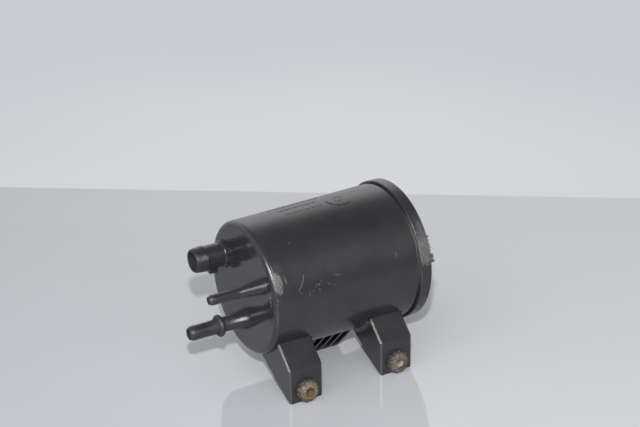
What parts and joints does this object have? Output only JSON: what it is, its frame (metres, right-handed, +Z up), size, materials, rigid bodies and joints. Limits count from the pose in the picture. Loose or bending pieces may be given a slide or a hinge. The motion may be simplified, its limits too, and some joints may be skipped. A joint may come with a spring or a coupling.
{
  "type": "charcoal canister",
  "caption": "Moulded drum-shaped fuel vapour canister with hose ports on its front face, a welded end cap, mounting feet with toothed threaded inserts, and a ribbed foot below.",
  "frame": {"origin": "on the ground, below the middle of the bounding box", "axes": "+X along the drum's axis from the ports to the end cap, -Y the side that the mounting feet look to, +Z up"},
  "size_m": [0.1528, 0.1002, 0.1079],
  "materials": {
    "body_plastic": "satin",
    "cap_plastic": "satin",
    "insert_metal": "matte",
    "filter_pad": "matte",
    "carbon": "matte",
    "retainer_plastic": "matte",
    "spring_steel": "satin"
  },
  "bodies": {
    "root": {"canister_body": "body_plastic", "end_cap": "cap_plastic", "front_insert": "insert_metal", "rear_insert": "insert_metal", "main_front_pad": "filter_pad", "main_carbon": "carbon", "main_back_pad": "filter_pad", "main_retainer": "retainer_plastic", "main_spring": "spring_steel", "vent_front_pad": "filter_pad", "vent_carbon": "carbon", "vent_back_pad": "filter_pad", "vent_retainer": "retainer_plastic", "vent_spring": "spring_steel"}
  },
  "joints": []
}
